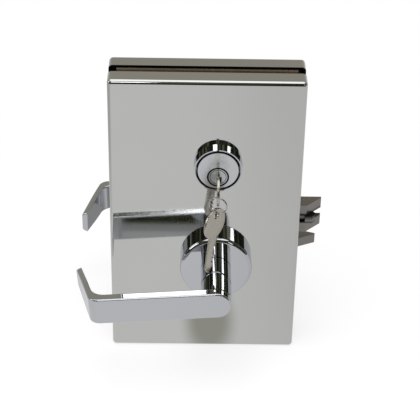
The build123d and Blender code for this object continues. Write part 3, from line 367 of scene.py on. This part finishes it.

# Painted shade at the tongue's root: its heights from the latch's middle, and where it fades
# out to the right of the cover
ROOT_Z = ((0.0010, 0.0018), (0.0042, 0.0050))
ROOT_X = (0.0050, 0.0058)
ROOT_SHARE = 0.9

# How far behind a cover's inner rim its painted shade begins to fade and has faded, and how far
# from the middle the painted shade begins and is full in the corners of the slot
RIM_SKIN = (0.00005, 0.00015)
CORNER_X = (0.0675, 0.0690)

# Depths below a gasket's cut edge at which its painted light begins and is full
EDGE_LIGHT = (0.0018, 0.0006)


def shade(colour, amount):
    """The colour made lighter or darker by a factor."""
    return tuple(min(1.0, channel * amount) for channel in colour)


def metal(name, colour, roughness, spread, grain, stretch=(1, 1, 1), bump=0.0, blotch=0.03):
    """A metal whose grain, smears and faint blotches vary its gloss."""
    finish = Finish(name)
    finish.shader.inputs["Metallic"].default_value = 1.0
    smear = finish.grain(scale=18.0, detail=3.0)
    fine = finish.grain(grain, detail=6.0, stretch=stretch)
    finish.coat(
        finish.colours(
            smear, [(0.25, shade(colour, 1 - blotch)), (0.75, shade(colour, 1 + blotch))]),
        finish.between(fine, roughness, roughness + spread))
    if bump:
        finish.bump(fine, bump)
    return finish


def polished_steel(name, colour):
    """Mirror polish, with painted shade, dull and dark, on the rims that face each other across
    the glass.
    """
    finish = metal(
        name, colour, roughness=0.035, spread=0.035, grain=900.0, stretch=(1, 1, 0.06),
        blotch=0.01)
    # Painted shade on the inner rims, in the gap across the glass
    start, end = (SLOT_HALF + depth for depth in RIM_SKIN)
    finish.paint_shade(finish.between(finish.unsigned(finish.along("Y")), 1.0, 0.0, start, end))
    return finish.material


def chrome(name, colour):
    return metal(
        name, colour, roughness=0.02, spread=0.025, grain=600.0, blotch=0.012).material


def satin_chrome(name, colour):
    """Satin face of the cylinder, with painted shade in its rims and in a ward beside the keyway.
    """
    finish = metal(
        name, colour, roughness=0.20, spread=0.08, grain=1400.0, stretch=(1, 1, 0.2), bump=0.03,
        blotch=0.02)
    # Painted shade in the gaps at the rims and in the plug's groove
    for height, radius, half_width in CYLINDER_RINGS:
        off = finish.unsigned(
            finish.math("SUBTRACT", finish.radius(CYLINDER.x, height), radius, clamp=False))
        finish.paint_shade(
            finish.between(off, 1.0, 0.0, half_width * RING_CORE, half_width, smooth=True))
    # Painted shade in the ward slot beside the keyway
    finish.paint_shade(finish.product(
        finish.window(finish.along("X", CYLINDER.x), *WARD_X),
        finish.window(finish.along("Z", PLUG_Z), *WARD_Z)))
    return finish.material


def satin_bolt(name, colour):
    """Brushed along the throw, with painted shade at both sides of the slot and at the root of the
    tongue.
    """
    finish = metal(
        name, colour, roughness=0.22, spread=0.16, grain=1600.0, stretch=(0.05, 1, 1), bump=0.12,
        blotch=0.08)
    height = finish.along("Z", LATCH_Z)
    # Painted shade along the slot's edges above and below the tongue
    for shade_start, shade_peak in SLOT_EDGE_SHADE:
        share = finish.product(
            finish.between(height, 0.0, SLOT_EDGE_SHADE_SHARE, shade_start, shade_peak, smooth=True),
            finish.between(height, 1.0, 0.0, shade_peak, 2 * shade_peak - shade_start))
        finish.paint_shade(share, roughness=0.45)
    # Painted shade at the tongue's root
    root = finish.product(
        finish.window(height, *ROOT_Z),
        finish.between(finish.along("X", COVER_RIGHT), ROOT_SHARE, 0.0, *ROOT_X))
    finish.paint_shade(root, roughness=0.45)
    return finish.material


def satin_plate(name, colour):
    return metal(
        name, colour, roughness=0.24, spread=0.14, grain=1600.0, stretch=(1, 1, 0.05), bump=0.10,
        blotch=0.05).material


def zinc(name, colour):
    """Zinc plate, with painted shade, dull and dark, in the corners of the glass slot."""
    finish = metal(
        name, colour, roughness=0.32, spread=0.16, grain=260.0, bump=0.10, blotch=0.10)
    # Painted shade in the corners of the glass slot
    off = finish.unsigned(finish.along("X"))
    finish.paint_shade(finish.between(off, 0.0, 1.0, *CORNER_X, smooth=True), roughness=0.6)
    return finish.material


def dark_steel(name, colour):
    return metal(
        name, colour, roughness=0.34, spread=0.16, grain=420.0, bump=0.10, blotch=0.20).material


def spring_wire(name, colour):
    return metal(
        name, colour, roughness=0.14, spread=0.12, grain=900.0, bump=0.05, blotch=0.05).material


def nickel_key(name, colour):
    return metal(
        name, colour, roughness=0.20, spread=0.18, grain=700.0, bump=0.16, blotch=0.08).material


def brown_fibre(name, colour):
    """Fibre sheet, with painted light making it paler near its cut edge at the top and bottom of
    the slot.
    """
    finish = Finish(name)
    fibres = finish.grain(scale=900.0, detail=6.0, stretch=(1, 1, 0.2))
    brown = finish.colours(
        fibres, [(0.3, shade(colour, 0.6)), (0.55, colour), (0.8, shade(colour, 1.7))])
    # Painted light on the gasket's top and bottom edges
    start, end = (GASKET_HALF - depth for depth in EDGE_LIGHT)
    off = finish.unsigned(finish.along("Z", COVER.z))
    edge = finish.between(off, 0.0, 1.0, start, end, smooth=True)
    pale = tuple(channel + 0.06 for channel in shade(colour, 1.3))
    finish.coat(finish.mixed_colour(edge, brown, (*pale, 1)), finish.between(fibres, 0.75, 0.95))
    finish.bump(fibres, 0.5, distance=0.0002)
    return finish.material


def acetal(name, colour):
    """Black plastic with a fine moulded grain."""
    finish = Finish(name)
    skin = finish.grain(scale=1500.0)
    finish.coat(
        finish.colours(skin, [(0.3, colour), (0.8, shade(colour, 2.2))]),
        finish.between(skin, 0.35, 0.5))
    finish.bump(skin, 0.1)
    return finish.material


# The finish of each slot, whose colour has the function's name in LockColours
FINISHES = {
    "polished_steel": polished_steel,
    "chrome_trim": chrome,
    "satin_chrome": satin_chrome,
    "satin_bolt": satin_bolt,
    "satin_plate": satin_plate,
    "zinc_plate": zinc,
    "dark_steel": dark_steel,
    "spring_steel": spring_wire,
    "brown_fibre": brown_fibre,
    "bearing_plastic": acetal,
    "nickel_key": nickel_key,
}


def finish_for(slot):
    """The material of a slot, made the first time it is asked for."""
    name = "lock_" + slot
    finish = FINISHES[slot]
    colour = getattr(bpy.context.scene.lock_colours, finish.__name__)
    return bpy.data.materials.get(name) or finish(name, tuple(colour))


def dress(*names):
    """Gives CAD nodes the finish of their slot."""
    for name in names:
        node = NODES[name]
        node.data.materials.clear()
        node.data.materials.append(finish_for(SLOT_OF[name]))


def body_of(node):
    """The body that a CAD node rides on."""
    for body, members in frame["record"]["behaviour"]["bodies"].items():
        if node in members:
            return body
    raise KeyError(node)


# Pieces made anew

SHARP_ANGLE = math.radians(32)

# Sides of a spring's wire and steps of one turn
WIRE_SIDES = 10
TURN_STEPS = 20

# A key's sizes beside those in LockSizes. Its cuts are measured from the end of the bow
KEY_HOLE_INSET = 0.0055
KEY_CIRCLE_SIDES = 72
BOW_BEVEL = 0.00028
BLADE_HALF = 0.004
BLADE_OVERLAP = 0.002
BLADE_LENGTH = 0.030
BLADE_THICKNESS_SHARE = 0.94
BLADE_BEVEL = 0.00018
TIP_LENGTH = 0.004
TIP_HALF = 0.0008
TIP_SHOULDER = 0.0004
CUTS = (0.021, 0.017, 0.013, 0.009)
CUT_DEPTH = 0.00221
CUT_HALF = 0.0016
CUT_FLOOR_HALF = 0.0003
STEEP = math.radians(60)
LEVEL = 0.000001

# How the spare key hangs on the ring
RING_WIRE = 0.0006
RING_PLAY = 0.00045
RING_TURN = math.radians(-20)
SPARE_SHIFT = 0.0017
SPARE_TURN = math.radians(50)
SPARE_LEAN = math.radians(10)


def piece_from(work, name, node):
    """Makes an object of a bmesh, rides it on the node's body and lets it stand for the node."""
    bmesh.ops.recalc_face_normals(work, faces=work.faces)
    mesh = bpy.data.meshes.new(name)
    work.to_mesh(mesh)
    work.free()
    piece = bpy.data.objects.new(name, mesh)
    bpy.context.scene.collection.objects.link(piece)
    mesh.materials.append(finish_for(SLOT_OF[node]))
    mesh.shade_smooth()
    mesh.set_sharp_from_angle(angle=SHARP_ANGLE)
    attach(piece, body_of(node))
    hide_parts(node)
    return piece


def bolt_spring(node, turns, wire):
    """Winds a spring in the node's place, from its left end, towards which the real spring
    shortens as its bolt goes in.
    """
    low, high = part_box(node)
    length = high.x - low.x
    first_x = low.x + wire / 2
    middle_y = (low.y + high.y) / 2
    middle_z = (low.z + high.z) / 2
    coil_radius = (high.z - low.z - wire) / 2
    steps = turns * TURN_STEPS
    coil = bmesh.new()
    bmesh.ops.create_circle(
        coil, segments=WIRE_SIDES, radius=wire / 2, cap_ends=False,
        matrix=Matrix.Translation((first_x, middle_y, middle_z + coil_radius))
        @ Matrix.Rotation(math.pi / 2, 4, "X"))
    bmesh.ops.spin(
        coil, geom=coil.verts[:] + coil.edges[:], cent=(first_x, middle_y, middle_z),
        axis=(1, 0, 0), dvec=((length - wire) / steps, 0, 0), angle=2 * math.pi * turns,
        steps=steps, use_duplicate=False)
    bmesh.ops.holes_fill(coil, edges=[edge for edge in coil.edges if edge.is_boundary], sides=0)
    piece = piece_from(coil, f"wound_{node}", node)
    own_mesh(piece)


def add_bow(work, sizes):
    """The round grip, with the hole at the local origin and bevelled rims."""
    length = sizes.key_bow_length
    outer = bmesh.ops.create_circle(
        work, cap_ends=False, segments=KEY_CIRCLE_SIDES, radius=0.5)["verts"]
    bmesh.ops.scale(work, vec=(sizes.key_bow_width, length, 1), verts=outer)
    bmesh.ops.translate(work, vec=(0, KEY_HOLE_INSET - length / 2, 0), verts=outer)
    bmesh.ops.create_circle(
        work, cap_ends=False, segments=KEY_CIRCLE_SIDES, radius=sizes.key_hole)
    bmesh.ops.bridge_loops(work, edges=work.edges[:])
    bmesh.ops.solidify(work, geom=work.faces[:], thickness=sizes.key_thickness)
    low = min(vert.co.z for vert in work.verts)
    bmesh.ops.translate(work, vec=(0, 0, -sizes.key_thickness / 2 - low), verts=work.verts)
    rims = [
        edge for edge in work.edges
        if len(edge.link_faces) == 2 and edge.calc_face_angle() > STEEP]
    bmesh.ops.bevel(
        work, geom=rims, offset=BOW_BEVEL, segments=3, profile=0.5, affect="EDGES", material=-1)


def blade_outline(bow_end):
    """The outline of a cut blade from the end of the bow, down its back and up its cuts."""
    top = bow_end + BLADE_OVERLAP
    bottom = bow_end - BLADE_LENGTH
    outline = [
        (-BLADE_HALF, top), (-BLADE_HALF, bottom + TIP_LENGTH), (-TIP_HALF, bottom),
        (TIP_HALF, bottom), (BLADE_HALF - TIP_SHOULDER, bottom + TIP_LENGTH)]
    for cut in CUTS:
        y = bow_end - cut
        outline += [
            (BLADE_HALF, y - CUT_HALF), (BLADE_HALF - CUT_DEPTH, y - CUT_FLOOR_HALF),
            (BLADE_HALF - CUT_DEPTH, y + CUT_FLOOR_HALF), (BLADE_HALF, y + CUT_HALF)]
    return outline + [(BLADE_HALF, top)]


def add_blade(work, sizes):
    """The cut blade, a little thinner than the bow that it goes into."""
    half = sizes.key_thickness / 2 * BLADE_THICKNESS_SHARE
    outline = blade_outline(KEY_HOLE_INSET - sizes.key_bow_length)
    lower = [work.verts.new((x, y, -half)) for x, y in outline]
    grown = bmesh.ops.extrude_face_region(work, geom=[work.faces.new(lower)])["geom"]
    upper = [item for item in grown if isinstance(item, bmesh.types.BMVert)]
    bmesh.ops.translate(work, vec=(0, 0, 2 * half), verts=upper)
    blade = set(lower + upper)
    rims = [
        edge for edge in work.edges
        if blade.issuperset(edge.verts) and len(edge.link_faces) == 2
        and abs(edge.verts[0].co.z - edge.verts[1].co.z) < LEVEL]
    bmesh.ops.bevel(
        work, geom=rims, offset=BLADE_BEVEL, segments=2, profile=0.5, affect="EDGES",
        material=-1)


def cut_key(name, node, sizes, hole, across, normal):
    """Makes a key whose bow lies with its hole there, its width across and its face normal."""
    work = bmesh.new()
    add_bow(work, sizes)
    add_blade(work, sizes)
    matrix = Matrix((across, normal.cross(across), normal)).transposed().to_4x4()
    matrix.translation = hole
    bmesh.ops.transform(work, matrix=matrix, verts=work.verts)
    piece_from(work, name, node)


# Stage

SENSOR_WIDTH = 36.0
FAR_CLIP = 50.0
FLOOR_DROP = 0.0002
LIGHT_AIM = Vector((0, 0, 0.12))
FILL_LIGHT = 0.55


def floor_material(colour):
    """Diffuse near the lock, where its shadow falls, and plain white further out.

    Polished metal sees it grey instead, darkest far in front, with painted shadow behind the lock
    and a dim patch of painted shadow below the lever's neck. In third reflections there is a
    painted shadow on it too, under the lever.
    """
    material = bpy.data.materials.new("lock_floor")
    graph = Graph(material, "ShaderNodeOutputMaterial")
    place = graph.add("ShaderNodeTexCoord").outputs["Object"]
    parts = graph.axes(place)
    x, y = parts["X"], parts["Y"]
    path = graph.add("ShaderNodeLightPath").outputs

    left = graph.between(x, 0.68, 1.0, start=-0.45, end=-0.12, smooth=True)
    right = graph.between(x, 0.745, 0.66, start=-0.03, end=0.12, smooth=True)
    front = graph.between(y, 0.03, 1.0, start=-0.62, end=-0.53, smooth=True)
    # Painted shadow behind the lock, for what metal sees
    shadow_behind = graph.between(
        graph.spot(place, centre=(-0.03, 0.15, 0), size=(0.16, 0.15, 1)), 0.42, 1.0,
        start=0.4, end=1.1, smooth=True)
    grey = graph.mixed_colour(graph.product(left, right, shadow_behind, front), BLACK, WHITE)

    # Painted shadow in a dim patch below the lever's neck, for what metal sees
    neck_shadow = graph.between(
        graph.spot(place, centre=(0.006, -0.055, 0), size=(0.020, 0.050, 1)), 1.0, 0.0,
        start=0.5, end=1.4, smooth=True)
    mirrored = graph.mixed_colour(neck_shadow, grey, (0.40, 0.40, 0.36, 1))

    # Painted shadow under the lever, seen in third and later reflections
    under_lever = graph.product(
        graph.math("GREATER_THAN", path["Ray Depth"], 2.5),
        graph.window(x, rise=(-0.084, -0.073), fall=(-0.009, 0.001)),
        graph.window(y, rise=(-0.118, -0.112), fall=(-0.074, -0.068)))
    lever_shadow = graph.colours(graph.between(y, 0.0, 1.0, start=-0.12, end=-0.07), [
        (0.36, (0.035, 0.040, 0.014)), (0.43, (0.18, 0.19, 0.13)), (0.49, (0.60, 0.61, 0.59)),
        (0.68, (0.64, 0.64, 0.62)), (0.75, (1.0, 1.0, 1.0))])
    mirrored = graph.mixed_colour(under_lever, mirrored, lever_shadow)

    glossy = path["Is Glossy Ray"]
    diffuse = graph.add("ShaderNodeBsdfDiffuse")
    diffuse.inputs["Color"].default_value = (*colour, 1)
    seen = graph.add("ShaderNodeEmission")
    graph.put(graph.mixed_colour(glossy, WHITE, mirrored), seen.inputs["Color"])
    white_share = graph.between(
        graph.length(place), 0.74, 1.0, start=0.10, end=0.42, smooth=True)
    share = graph.product(graph.seen_directly(), graph.math("MAXIMUM", white_share, glossy))
    graph.put(
        graph.mixed_shader(share, diffuse.outputs[0], seen.outputs[0]),
        graph.output.inputs["Surface"])
    return material


def lay_floor(size, colour):
    work = bmesh.new()
    bmesh.ops.create_grid(
        work, x_segments=1, y_segments=1, size=size / 2,
        matrix=Matrix.Translation((0, 0, -FLOOR_DROP)))
    mesh = bpy.data.meshes.new("floor")
    work.to_mesh(mesh)
    work.free()
    floor = bpy.data.objects.new("floor", mesh)
    mesh.materials.append(floor_material(colour))
    bpy.context.scene.collection.objects.link(floor)


def sky():
    """What metal sees: a white ceiling, a dark room on the camera's side, a pale wall behind.

    The camera sees plain white, and the surfaces are lit by plain white.
    """
    world = bpy.data.worlds.new("lock_studio")
    bpy.context.scene.world = world
    graph = Graph(world, "ShaderNodeOutputWorld")
    toward = graph.add("ShaderNodeTexCoord").outputs["Generated"]
    parts = graph.axes(toward)
    away, height = parts["Y"], parts["Z"]
    room = graph.colours(graph.noise(toward, scale=8.0, detail=3.0), [
        (0.47, (0.014, 0.015, 0.010)), (0.57, (0.055, 0.060, 0.034)),
        (0.68, (0.26, 0.26, 0.19))])
    wall = graph.colours(height, [
        (0.0, (0.55, 0.55, 0.54)), (0.30, (0.36, 0.345, 0.30)), (0.60, (0.335, 0.32, 0.27))])
    behind = graph.between(away, 0.0, 1.0, start=-0.10, end=0.25, smooth=True)
    above = graph.between(height, 0.0, 1.0, start=0.80, end=0.90, smooth=True)
    around = graph.mixed_colour(
        above, graph.mixed_colour(behind, room, wall), (1.5, 1.5, 1.5, 1))
    camera = graph.add("ShaderNodeLightPath").outputs["Is Camera Ray"]
    seen = graph.add("ShaderNodeBackground")
    graph.put(graph.mixed_colour(camera, around, WHITE), seen.inputs["Color"])
    light = graph.add("ShaderNodeBackground")
    light.inputs["Color"].default_value = WHITE
    light.inputs["Strength"].default_value = FILL_LIGHT
    graph.put(
        graph.mixed_shader(graph.seen_directly(), light.outputs[0], seen.outputs[0]),
        graph.output.inputs["Surface"])


def softbox(name, place, width, height, power, mirrored=True):
    """A lamp aimed at the lock, hidden from the camera and, unless mirrored, from metal."""
    lamp = bpy.data.lights.new(name, "AREA")
    lamp.shape = "RECTANGLE"
    lamp.size = width
    lamp.size_y = height
    lamp.energy = power
    holder = bpy.data.objects.new(name, lamp)
    holder.location = place
    holder.rotation_euler = (LIGHT_AIM - Vector(place)).to_track_quat("-Z", "Y").to_euler()
    holder.visible_camera = False
    holder.visible_glossy = mirrored
    bpy.context.scene.collection.objects.link(holder)


def set_camera(sizes):
    camera = bpy.data.cameras.new("lock_camera")
    camera.lens = sizes.camera_lens
    camera.sensor_width = SENSOR_WIDTH
    camera.clip_end = FAR_CLIP
    holder = bpy.data.objects.new("lock_camera", camera)
    holder.location = sizes.camera_place
    upright = Euler((math.pi / 2 - sizes.camera_tilt, 0, -sizes.camera_turn)).to_matrix()
    roll = Matrix.Rotation(sizes.camera_roll, 3, "Z")
    holder.rotation_euler = (upright @ roll).to_euler()
    bpy.context.scene.collection.objects.link(holder)
    bpy.context.scene.camera = holder


# Operators

class LOCK_OT_covers(bpy.types.Operator):
    """Finish the two covers, the clamp plates between them and the gaskets"""

    bl_idname = "lock.covers"
    bl_label = "Covers and clamp"

    def execute(self, context):
        for side in ("front", "rear"):
            dress(f"{side}_cover", f"{side}_clamp_plate", f"{side}_gasket")
        dress("clamp_bolts", "clamp_sleeves", "mounting_blocks", "cover_screws")
        return {"FINISHED"}


class LOCK_OT_case(bpy.types.Operator):
    """Finish the mortise case, its faceplate and their screws"""

    bl_idname = "lock.case"
    bl_label = "Mortise case"

    def execute(self, context):
        dress("lock_case", "case_cover", "case_screws", "faceplate", "faceplate_screws",
              "armor_screws", "cylinder_set_screw", "stop_slide")
        return {"FINISHED"}


class LOCK_OT_bolts(bpy.types.Operator):
    """Finish the latch bolt, its tongue and tail, and the guard bolt, and wind their springs"""

    bl_idname = "lock.bolts"
    bl_label = "Latch and guard bolt"

    def execute(self, context):
        dress("latch_bolt", "latch_tongue", "tongue_pin", "latch_tail", "latch_spring_rod",
              "guard_bolt", "guard_rod")
        wire = context.scene.lock_sizes.spring_wire
        bolt_spring("latch_spring", turns=8, wire=wire)
        bolt_spring("guard_spring", turns=7, wire=wire)
        return {"FINISHED"}


class LOCK_OT_levers(bpy.types.Operator):
    """Finish the levers with their hubs, spindles and set screws"""

    bl_idname = "lock.levers"
    bl_label = "Levers"

    def execute(self, context):
        for side in ("front", "rear"):
            dress(f"{side}_lever", f"{side}_lever_screw", f"{side}_spindle", f"{side}_hub")
        return {"FINISHED"}


class LOCK_OT_roses(bpy.types.Operator):
    """Finish the roses with their bases, springs, bushings and bolts"""

    bl_idname = "lock.roses"
    bl_label = "Roses"

    def execute(self, context):
        for side in ("front", "rear"):
            dress(f"{side}_rose", f"{side}_rose_base", f"{side}_rose_spring", f"{side}_bushing")
        dress("trim_bolts")
        return {"FINISHED"}


class LOCK_OT_cylinder(bpy.types.Operator):
    """Finish the cylinder, its collar, plug and cam"""

    bl_idname = "lock.cylinder"
    bl_label = "Cylinder"

    def execute(self, context):
        dress("cylinder_collar", "cylinder_body", "cylinder_plug", "cylinder_cam", "cam_screws")
        return {"FINISHED"}


class LOCK_OT_keys(bpy.types.Operator):
    """Make the two cut keys and finish their ring"""

    bl_idname = "lock.keys"
    bl_label = "Keys and ring"

    def execute(self, context):
        sizes = context.scene.lock_sizes
        bow_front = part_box("key")[0].y
        cut_key(
            "cut_key", "key", sizes,
            hole=Vector((CYLINDER.x, bow_front + KEY_HOLE_INSET, PLUG_Z)),
            across=Vector((0, 0, 1)), normal=Vector((1, 0, 0)))
        ring_low, ring_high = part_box("key_ring")
        ring_radius = (ring_high.z - ring_low.z) / 2 - RING_WIRE
        hang = sizes.key_hole - RING_WIRE - RING_PLAY
        drop = math.sqrt(ring_radius ** 2 - SPARE_SHIFT ** 2) + hang
        cut_key(
            "cut_spare_key", "spare_key", sizes,
            hole=KEY_RING - Vector(
                (SPARE_SHIFT * math.cos(RING_TURN), SPARE_SHIFT * math.sin(RING_TURN), drop)),
            across=Vector((
                math.cos(SPARE_LEAN) * math.cos(SPARE_TURN),
                math.cos(SPARE_LEAN) * math.sin(SPARE_TURN), -math.sin(SPARE_LEAN))),
            normal=Vector((math.sin(SPARE_TURN), -math.cos(SPARE_TURN), 0)))
        dress("key_ring")
        return {"FINISHED"}


class LOCK_OT_stage(bpy.types.Operator):
    """Set up the camera, the pale floor and the soft light"""

    bl_idname = "lock.stage"
    bl_label = "Stage"

    def execute(self, context):
        scene = context.scene
        scene.view_settings.view_transform = "Standard"
        set_camera(scene.lock_sizes)
        lay_floor(scene.lock_sizes.floor_size, tuple(scene.lock_colours.floor))
        sky()
        softbox("softbox_above", (-0.10, -0.35, 1.50), width=1.1, height=0.9, power=17.0,
                mirrored=False)
        softbox("softbox_left", (-1.5, -0.5, 0.9), width=0.8, height=0.8, power=4.0)
        softbox("window_left", (-0.251, -1.425, 1.191), width=0.32, height=0.34, power=1.3)
        softbox("window_right", (0.841, -1.428, 0.823), width=0.16, height=0.45, power=0.8)
        return {"FINISHED"}


PIECE_OPERATORS = (
    LOCK_OT_covers,
    LOCK_OT_case,
    LOCK_OT_bolts,
    LOCK_OT_levers,
    LOCK_OT_roses,
    LOCK_OT_cylinder,
    LOCK_OT_keys,
    LOCK_OT_stage,
)


class LOCK_PT_panel(bpy.types.Panel):
    """Lists the lock's pieces, sizes and colours"""

    bl_idname = "LOCK_PT_panel"
    bl_label = "Center lock"
    bl_space_type = "VIEW_3D"
    bl_region_type = "UI"
    bl_category = "Center lock"

    def draw(self, context):
        for operator in PIECE_OPERATORS:
            self.layout.operator(operator.bl_idname)
        for name in LockSizes.__annotations__:
            self.layout.prop(context.scene.lock_sizes, name)
        for name in LockColours.__annotations__:
            self.layout.prop(context.scene.lock_colours, name)


CLASSES = (LockSizes, LockColours, *PIECE_OPERATORS, LOCK_PT_panel)


def register():
    for cls in CLASSES:
        bpy.utils.register_class(cls)
    bpy.types.Scene.lock_sizes = bpy.props.PointerProperty(type=LockSizes)
    bpy.types.Scene.lock_colours = bpy.props.PointerProperty(type=LockColours)


def unregister():
    del bpy.types.Scene.lock_colours
    del bpy.types.Scene.lock_sizes
    for cls in reversed(CLASSES):
        bpy.utils.unregister_class(cls)


def main():
    register()
    for operator in PIECE_OPERATORS:
        group, name = operator.bl_idname.split(".")
        getattr(getattr(bpy.ops, group), name)()


if __name__ == "__main__":
    main()
